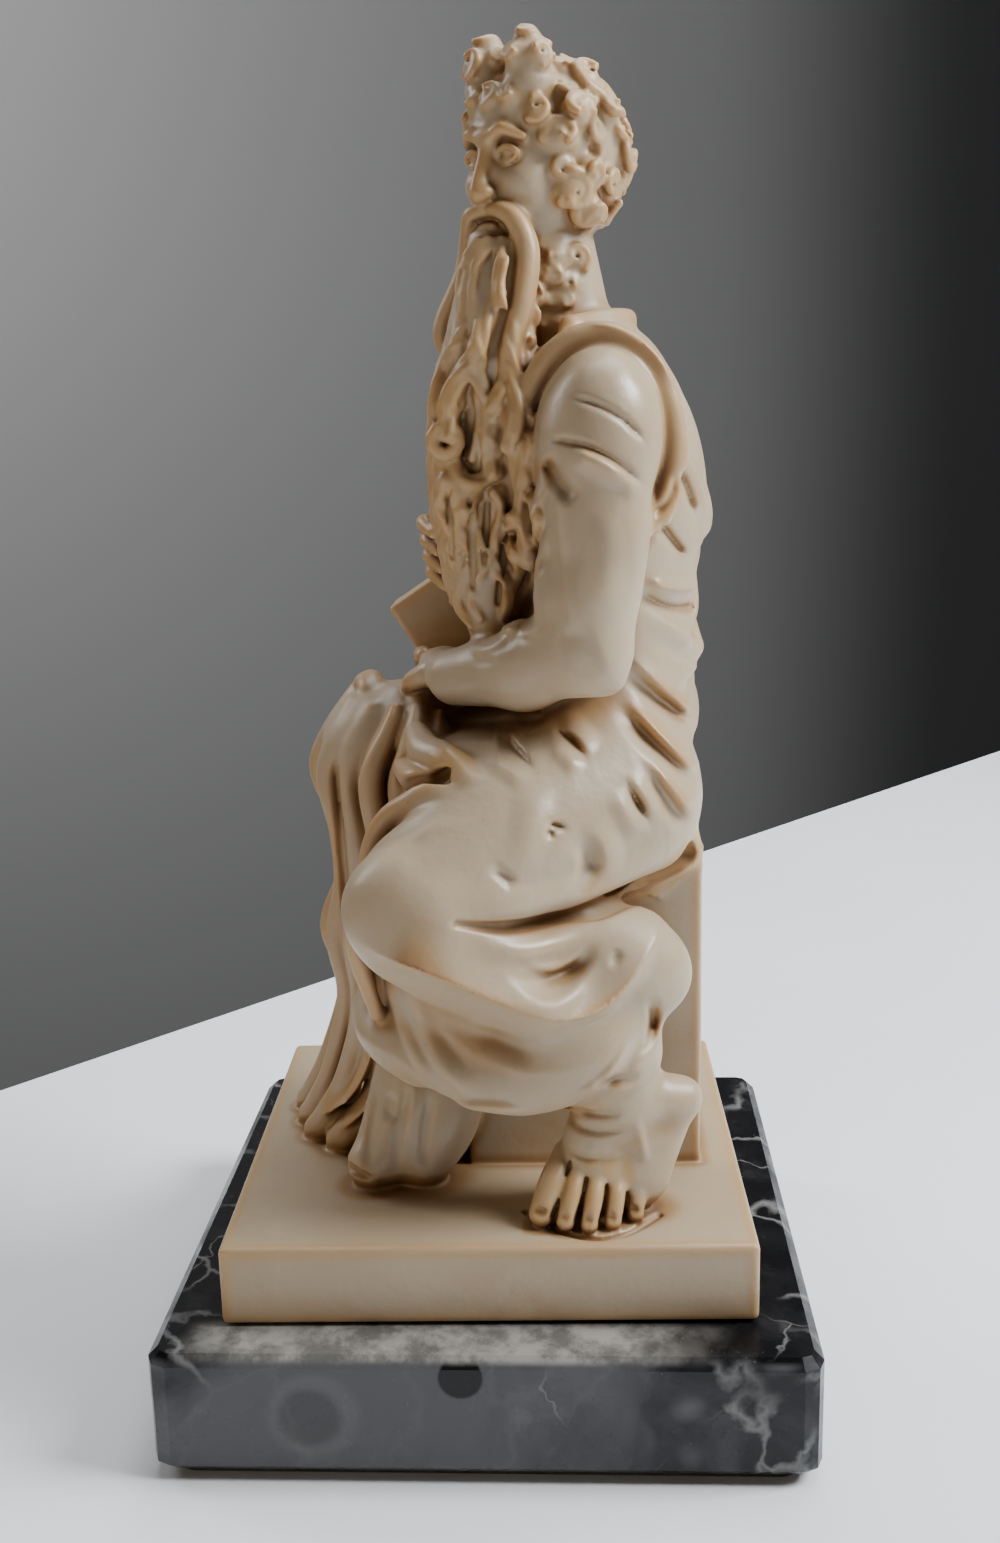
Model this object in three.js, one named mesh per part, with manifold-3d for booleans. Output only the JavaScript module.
// A statuette of a seated, bearded man in a loose robe, cast in marble-filled resin in one piece with his
// seat and the slab under it. One central screw holds the casting on a polished marble plinth.
//
// Millimetres, +Z up. The origin is the middle of the underside. The figure sits facing -Y, so its left
// side is towards +X, and its head is turned half way to that side.

import * as THREE from "three";
import { mergeVertices } from "three/addons/utils/BufferGeometryUtils.js";
import Module from "manifold-3d";

const wasm = await Module();
wasm.setup();

// ---- Driving dimensions ----

const FELT = { side: 76, thick: 1.0 };
const PLINTH = { side: 80, thick: 15.5, bevel: 1.2, corner: 1.6 };
const FILM = { width: 54, depth: 57, thick: 0.3 };
const SLAB = { width: 62.3, depth: 65, thick: 10, corner: 0.6, bevel: 0.8 };
const SEAT = { left: 10, right: -14, front: -3, back: 27.4, height: 41 };
const CASTING_SHIFT = [1.6, -0.1]; // from the plinth's middle to the slab's
const CASTING_TURN = 1.3; // degrees: one screw leaves it free to sit a little askew

const SCREW = { shankRadius: 1.9, length: 19, headRadius: 4, headHeight: 2.4 };
const WASHER = { outer: 6, inner: 2.3, thick: 1.0 };
const INSERT = { outer: 2.9, inner: 2.1, length: 8 };
const RUNNING_GAP = 0.3; // between pieces that sit inside one another
const COUNTERBORE = { radius: 6.6, depth: 5.5 };

// The figure's joints, from the middle of the slab's top face, before the casting's small turn.
const JOINTS = {
  pelvis: [-1, 14.5, 48],
  waist: [-1, 16, 62],
  chest: [-1, 16, 82],
  neckBase: [0, 12.5, 104],
  neckTop: [0.5, 10, 114],
  head: [1, 8.5, 126],
  leftShoulder: [15.5, 14.5, 94],
  leftElbow: [18, 14, 69.5],
  leftWrist: [6, -0.5, 65.5],
  leftHip: [8, 14, 50],
  leftKnee: [24, -5.5, 40.5],
  leftAnkle: [21, 17.5, 15],
  leftHeel: [20.4, 23.4, 13.6],
  leftToes: [25.4, 8, 2],
  rightShoulder: [-17, 13.5, 95],
  rightElbow: [-21.5, 8, 74],
  rightWrist: [-8.5, -1.6, 80],
  rightHip: [-8.5, 13, 52],
  rightKnee: [-2, -13.5, 55],
  rightAnkle: [8, -7, 12],
  rightToes: [14.5, -14.5, 2.2],
};
const FACING = new THREE.Vector3(Math.SQRT1_2, -Math.SQRT1_2, 0); // where the face looks

const CAST = { color: 0xd9c4a3, roughness: 0.38, metalness: 0 };
const MARBLE = { color: 0x4b4b4f, roughness: 0.25, metalness: 0 };
const STEEL = { color: 0xb9bcc0, roughness: 0.35, metalness: 1 };
const BRASS = { color: 0xc9a14a, roughness: 0.35, metalness: 1 };
const GLUE = { color: 0x3a342c, roughness: 0.6, metalness: 0 };
const BAIZE = { color: 0x20231f, roughness: 0.95, metalness: 0 };

// ---- Shapes ----

/** A closed geometry as a manifold-3d solid. */
function solidOf(geometry) {
  const bare = geometry.index ? geometry.toNonIndexed() : geometry.clone();
  bare.deleteAttribute("normal");
  bare.deleteAttribute("uv");
  const merged = mergeVertices(bare, 1e-4);
  const corners = merged.index.array;
  const kept = [];
  for (let i = 0; i < corners.length; i += 3) {
    const [a, b, c] = corners.subarray(i, i + 3);
    if (a !== b && b !== c && c !== a) kept.push(a, b, c);
  }
  return new wasm.Manifold(
    new wasm.Mesh({
      numProp: 3,
      vertProperties: merged.attributes.position.array,
      triVerts: new Uint32Array(kept),
    }),
  );
}

/** A manifold-3d solid as a geometry with flat faces. */
function geometryOf(solid) {
  const mesh = solid.getMesh();
  const geometry = new THREE.BufferGeometry();
  geometry.setAttribute("position", new THREE.BufferAttribute(mesh.vertProperties, 3));
  geometry.setIndex(new THREE.BufferAttribute(mesh.triVerts, 1));
  geometry.computeVertexNormals();
  return geometry;
}

/** All the solids joined into one, with any hollow that is sealed inside filled. */
function fuse(solids) {
  const joined = solids.reduce((whole, next) => whole.add(next));
  return joined
    .decompose()
    .reduce((largest, next) => (next.volume() > largest.volume() ? next : largest));
}

/** A rod with round ends that tapers from radius ra at a to rb at b. */
function limb(a, b, ra, rb, sides = 9) {
  const start = new THREE.Vector3(...a);
  const along = new THREE.Vector3(...b).sub(start);
  const length = along.length();
  const lean = Math.asin((ra - rb) / length);
  const steps = 2;
  const profile = [];
  for (let i = 0; i <= steps; i++) {
    const t = -Math.PI / 2 + ((lean + Math.PI / 2) * i) / steps;
    profile.push(new THREE.Vector2(ra * Math.cos(t), ra * Math.sin(t)));
  }
  for (let i = 0; i <= steps; i++) {
    const t = lean + ((Math.PI / 2 - lean) * i) / steps;
    profile.push(new THREE.Vector2(rb * Math.cos(t), length + rb * Math.sin(t)));
  }
  const rod = new THREE.LatheGeometry(profile, sides);
  const turn = new THREE.Quaternion().setFromUnitVectors(
    new THREE.Vector3(0, 1, 0),
    along.normalize(),
  );
  rod.applyQuaternion(turn).translate(...a);
  return solidOf(rod);
}

/** A run of limbs through points, each point being [x, y, z, radius]. */
function fold(points, sides = 6) {
  return points
    .slice(1)
    .map((next, i) => limb(points[i].slice(0, 3), next.slice(0, 3), points[i][3], next[3], sides));
}

/** An ellipsoid, turned by degrees about X, Y and Z. */
function blob(centre, radii, turn = [0, 0, 0], sides = 10) {
  const ball = new THREE.SphereGeometry(1, sides, Math.round(sides * 0.6));
  ball.rotateX(Math.PI / 2).scale(...radii);
  const [x, y, z] = turn.map(THREE.MathUtils.degToRad);
  ball.applyQuaternion(new THREE.Quaternion().setFromEuler(new THREE.Euler(x, y, z)));
  return solidOf(ball.translate(...centre));
}

/** A box between two corners. */
function block(low, high) {
  const size = high.map((h, i) => h - low[i]);
  const middle = high.map((h, i) => (h + low[i]) / 2);
  return solidOf(new THREE.BoxGeometry(...size).translate(...middle));
}

/** An upright cylinder standing on z. */
function post(radius, height, z, sides = 24) {
  const cylinder = new THREE.CylinderGeometry(radius, radius, height, sides);
  return solidOf(cylinder.rotateX(Math.PI / 2).translate(0, 0, z + height / 2));
}

/** A rectangular slab with rounded or cut corners and bevelled edges, standing on z = 0. */
function tile(width, depth, thick, corner, bevel, cornerSteps) {
  const x = width / 2 - bevel;
  const y = depth / 2 - bevel;
  const outline = new THREE.Shape();
  const middles = [
    [x - corner, y - corner, 0],
    [-x + corner, y - corner, 1],
    [-x + corner, -y + corner, 2],
    [x - corner, -y + corner, 3],
  ];
  middles.forEach(([cx, cy, quarter]) => {
    const from = (quarter * Math.PI) / 2;
    outline.absarc(cx, cy, corner, from, from + Math.PI / 2, false);
  });
  return new THREE.ExtrudeGeometry(outline, {
    depth: thick - 2 * bevel,
    bevelSize: bevel,
    bevelThickness: bevel,
    bevelSegments: bevel > 0 ? 1 : 0,
    bevelEnabled: bevel > 0,
    curveSegments: cornerSteps,
  }).translate(0, 0, bevel);
}

// ---- The casting, from the middle of the slab's top face ----

/** The point a number of millimetres from a joint. */
function from(name, x, y, z) {
  const [jx, jy, jz] = JOINTS[name];
  return [jx + x, jy + y, jz + z];
}

/** A point on the head: ahead along the face, to the face's left, and up from the head's middle. */
function onHead(ahead, left, up) {
  const [x, y, z] = JOINTS.head;
  return [x + FACING.x * ahead - FACING.y * left, y + FACING.y * ahead + FACING.x * left, z + up];
}

function torso() {
  return [
    blob(from("chest", 0, 0, 1), [17, 12.4, 20], [0, 0, 0], 14),
    blob(from("waist", 0, 0, 0), [15, 12.2, 16], [0, 0, 0], 14),
    blob(from("pelvis", 1, 0, 1), [18, 13.2, 13.5], [0, 0, 0], 14),
    limb(from("leftShoulder", -2, 0.5, 1), from("rightShoulder", 3, 1, 1), 7.2, 7.2),
    limb(JOINTS.neckBase, JOINTS.neckTop, 6.6, 6),
    limb(from("neckBase", -8, 3, -3), from("neckBase", 8, 3, -3), 4.6, 4.6),
  ];
}

function head() {
  const curls = [];
  const rings = [
    [5, -4, 6.4],
    [7, 2.5, 8],
    [5, 8.2, 6.2],
  ];
  rings.forEach(([count, up, reach]) => {
    for (let i = 0; i < count; i++) {
      const angle = Math.PI * (0.36 + (1.28 * i) / (count - 1));
      const middle = onHead(reach * Math.cos(angle), reach * Math.sin(angle), up);
      curls.push(blob(middle, [3.1, 3.1, 3.4], [0, 0, 0], 6));
    }
  });
  return [
    blob(onHead(-0.8, 0, 1), [8, 9.2, 10], [0, 0, 45]),
    limb(onHead(3.6, 0, -5), onHead(2.6, 0, -11), 5.2, 4),
    limb(onHead(8, 0, 0.5), onHead(10, 0, -3), 0.9, 1.5, 6),
    limb(onHead(4.6, 3.2, 9), onHead(3.6, 3.4, 13.4), 2.2, 1.1, 8),
    limb(onHead(4.6, -3.2, 9), onHead(3.6, -3.4, 13.4), 2.2, 1.1, 8),
    ...curls,
  ];
}

function beard() {
  return [
    ...fold([[...onHead(5, 0, -9), 4.4], [3.5, 0.4, 106, 5.6], [2, 1, 95, 5.8], [0, 0.6, 82, 5.8]], 8),
    ...fold([[...onHead(7, 3.4, -7), 1.7], [9.5, 3, 106, 2], [7, 5, 92, 2.4], [6, 2.5, 80, 2.6]]),
    ...fold([[...onHead(8, -3, -7), 1.7], [-1.5, -2.4, 106, 2], [-1.5, -1.6, 92, 2.4]]),
    ...fold([[1, -1.6, 88, 3.6], [0, -2, 80, 3.8], [4, 0, 69, 2]]),
    ...fold([[-4, 2, 88, 4], [-1, 2, 72, 2.4]]),
  ];
}

function leftArm() {
  return [
    blob(from("leftShoulder", 1.2, 0, 0.6), [7.2, 7.4, 8.6]),
    limb(from("leftShoulder", 1, 0, -2), from("leftElbow", 0, 0, 3), 6.6, 5.7, 11),
    limb(JOINTS.leftElbow, JOINTS.leftWrist, 5.2, 3.5, 12),
    blob(from("leftWrist", -3.5, -3, -0.5), [4.6, 3, 3.2], [0, 0, 25], 10),
    ...fold([[3.5, -4.5, 65.5, 2.2], [-1.5, -7.5, 63.5, 1.8], [-4.5, -7, 60.5, 1.4]]),
  ];
}

function rightArm() {
  return [
    blob(from("rightShoulder", -0.5, 0, 0.5), [7, 7.2, 8]),
    limb(from("rightShoulder", -0.5, 0, -2), JOINTS.rightElbow, 6.4, 5.2, 11),
    limb(JOINTS.rightElbow, JOINTS.rightWrist, 4.9, 3.3, 12),
    blob(from("rightWrist", 3, -2.4, 1.2), [3.6, 2.2, 3], [0, 0, -30], 10),
    ...fold([[-4, -4.6, 82, 1.6], [1, -4.6, 84, 1.2]]),
  ];
}

/** Two plain tablets, one behind the other, standing on a corner under the right forearm. */
function tablets() {
  const pair = [-14.6, -10.6].map((x) => {
    const plate = new THREE.BoxGeometry(3.4, 25, 30);
    plate.rotateX(THREE.MathUtils.degToRad(33)).translate(x, 5.75, 66);
    return solidOf(plate);
  });
  return [...pair, block([-13.2, 0, 58], [-12, 12, 74])];
}

function robe() {
  return [
    limb(JOINTS.leftHip, from("leftKnee", -0.5, 0.8, 0), 12.5, 8.8, 12),
    limb(from("leftKnee", -0.6, 1.2, -5), from("leftAnkle", 0, -1, 7), 8.4, 7.4, 12),
    limb(JOINTS.rightHip, from("rightKnee", 0, 0.5, 0), 11, 8.4, 12),
    limb(from("rightKnee", 0.5, 1, -2), from("rightAnkle", -3, 1, 6), 8.2, 7.2),
    blob([18, 11, 30.5], [7.4, 15, 9.5], [-14, 0, 0], 12),
    blob([13, -1, 33], [9, 9, 14], [0, 0, 20]),
    blob([8, 1, 52], [13, 10, 8]),
    ...fold([[9, 1, 60, 4.2], [7.5, -3.4, 56, 3.6], [15, -6, 47, 3]]),
    ...fold([[-9, 22, 45, 5.2], [9, 22, 46, 5.6]], 9),
  ];
}

/** The cloth that hangs from the right knee to the slab. */
function hangingCloth() {
  return [
    ...fold([[-4, -21.5, 55, 2.2], [-6, -22.6, 48, 2.4], [-6, -20.6, 34, 2.4], [-3, -19.6, 15, 2.6]]),
    ...fold([[0, -17, 60, 2.2], [1.5, -20.4, 50, 2.2], [2, -20.4, 32, 2.4], [3, -18, 14, 2.8]]),
    ...fold([[6, -9, 58, 2.2], [8.5, -13, 44, 2.4], [7.5, -14, 14, 2.8]]),
    ...fold([[-3, -19.6, 16, 2.6], [-7, -25, 2.6, 3.2]]),
    ...fold([[1, -18, 16, 2.4], [1, -22, 2.6, 2.8]]),
    ...fold([[5, -15, 16, 2.4], [7, -18.8, 2.2, 2.4]]),
    ...fold([[-12, -8, 52, 3], [-14.5, -12, 16, 3.4], [-16, -14, 1, 2.6]]),
    blob([-4, -11, 22], [10.5, 10, 25], [6, 0, 0], 11),
  ];
}

function leftFoot() {
  const toes = [0, 1, 2, 3, 4].map((i) => {
    const spread = -2.6 + 1.9 * i;
    const root = from("leftToes", -0.9 - 0.3 * i, spread + 4.2, 2.6 - 0.35 * i);
    const tip = from("leftToes", 1.4 - 0.75 * i, spread + 0.4 * i, -0.5);
    return limb(root, tip, i ? 1.35 : 1.75, i ? 1.05 : 1.4, 8);
  });
  return [
    limb(from("leftAnkle", 0.2, -1.2, 8), JOINTS.leftAnkle, 5.4, 4.4),
    limb(JOINTS.leftAnkle, JOINTS.leftHeel, 4, 3, 10),
    limb(JOINTS.leftAnkle, from("leftToes", -1, 5, 2.2), 4.2, 3.4),
    limb(JOINTS.leftHeel, from("leftToes", -0.4, 6.6, 1), 2.8, 3, 10),
    ...toes,
  ];
}

function rightFoot() {
  return [
    limb(from("rightAnkle", -1, 0.5, 6), from("rightAnkle", 0, 0, -3), 6, 5.4),
    limb(from("rightAnkle", 0.5, -0.5, -5), JOINTS.rightToes, 5.6, 2.8),
    limb(from("rightAnkle", 2.4, 1.6, -7), from("rightToes", 1.2, 3.4, -0.4), 3.6, 2.8),
  ];
}

function casting() {
  const slab = solidOf(
    tile(SLAB.width, SLAB.depth, SLAB.thick, SLAB.corner, SLAB.bevel, 4).translate(0, 0, -SLAB.thick),
  );
  const seat = block([SEAT.right, SEAT.front, -1], [SEAT.left, SEAT.back, SEAT.height]);
  const figure = fuse([
    slab,
    seat,
    ...torso(),
    ...head(),
    ...beard(),
    ...leftArm(),
    ...rightArm(),
    ...tablets(),
    ...robe(),
    ...hangingCloth(),
    ...leftFoot(),
    ...rightFoot(),
  ]);
  const belowSlab = block([-60, -60, -60], [60, 60, -SLAB.thick]);
  const socket = post(INSERT.outer + RUNNING_GAP, INSERT.length + 2, -SLAB.thick - 1)
    .translate(...screwInCasting(), 0);
  return figure.subtract(belowSlab).subtract(socket);
}

/** Where the plinth's middle, and so the screw, is in the casting's own turned frame. */
function screwInCasting() {
  const turn = THREE.MathUtils.degToRad(-CASTING_TURN);
  const [x, y] = CASTING_SHIFT.map((v) => -v);
  return [x * Math.cos(turn) - y * Math.sin(turn), x * Math.sin(turn) + y * Math.cos(turn)];
}

// ---- Plinth and fixings, from the middle of the underside ----

const PLINTH_Z = FELT.thick;
const FILM_Z = PLINTH_Z + PLINTH.thick;
const SLAB_Z = FILM_Z + FILM.thick;

function marblePlinth() {
  const stone = tile(PLINTH.side, PLINTH.side, PLINTH.thick, PLINTH.corner, PLINTH.bevel, 1);
  return solidOf(stone.translate(0, 0, PLINTH_Z))
    .subtract(post(SCREW.shankRadius + 0.6, PLINTH.thick + 2, PLINTH_Z - 1))
    .subtract(post(COUNTERBORE.radius, COUNTERBORE.depth + 1, PLINTH_Z - 1));
}

function adhesiveFilm() {
  const film = tile(FILM.width, FILM.depth, FILM.thick, 4, 0, 4).translate(0, 0, FILM_Z);
  return solidOf(film).subtract(post(SCREW.shankRadius + 1, 2, FILM_Z - 1));
}

function feltPad() {
  return solidOf(tile(FELT.side, FELT.side, FELT.thick, 3, 0, 3));
}

function washer() {
  const z = PLINTH_Z + COUNTERBORE.depth - WASHER.thick;
  return post(WASHER.outer, WASHER.thick, z).subtract(post(WASHER.inner, 4, z - 1));
}

function fixingScrew() {
  const top = PLINTH_Z + COUNTERBORE.depth - WASHER.thick;
  const head = post(SCREW.headRadius, SCREW.headHeight, top - SCREW.headHeight);
  const slot = block([-1, -5, top - SCREW.headHeight - 1], [1, 5, top - SCREW.headHeight + 1]);
  return head.add(post(SCREW.shankRadius, SCREW.length, top - 0.5, 16)).subtract(slot);
}

function threadedInsert() {
  const ring = post(INSERT.outer, INSERT.length, SLAB_Z + 0.2);
  return ring.subtract(post(INSERT.inner + 0.1, INSERT.length + 2, SLAB_Z - 0.8));
}

// ---- Assembly ----

const statuette = new THREE.Group();

function show(name, solid, finish, parent = statuette) {
  const mesh = new THREE.Mesh(geometryOf(solid), new THREE.MeshStandardMaterial(finish));
  mesh.name = name;
  parent.add(mesh);
}

const castingFrame = new THREE.Group();
castingFrame.position.set(...CASTING_SHIFT, SLAB_Z + SLAB.thick);
castingFrame.rotation.z = THREE.MathUtils.degToRad(CASTING_TURN);
statuette.add(castingFrame);

show("figure_casting", casting(), CAST, castingFrame);
show("marble_plinth", marblePlinth(), MARBLE);
show("adhesive_film", adhesiveFilm(), GLUE);
show("threaded_insert", threadedInsert(), BRASS);
show("washer", washer(), STEEL);
show("fixing_screw", fixingScrew(), STEEL);
show("felt_pad", feltPad(), BAIZE);

export default statuette;
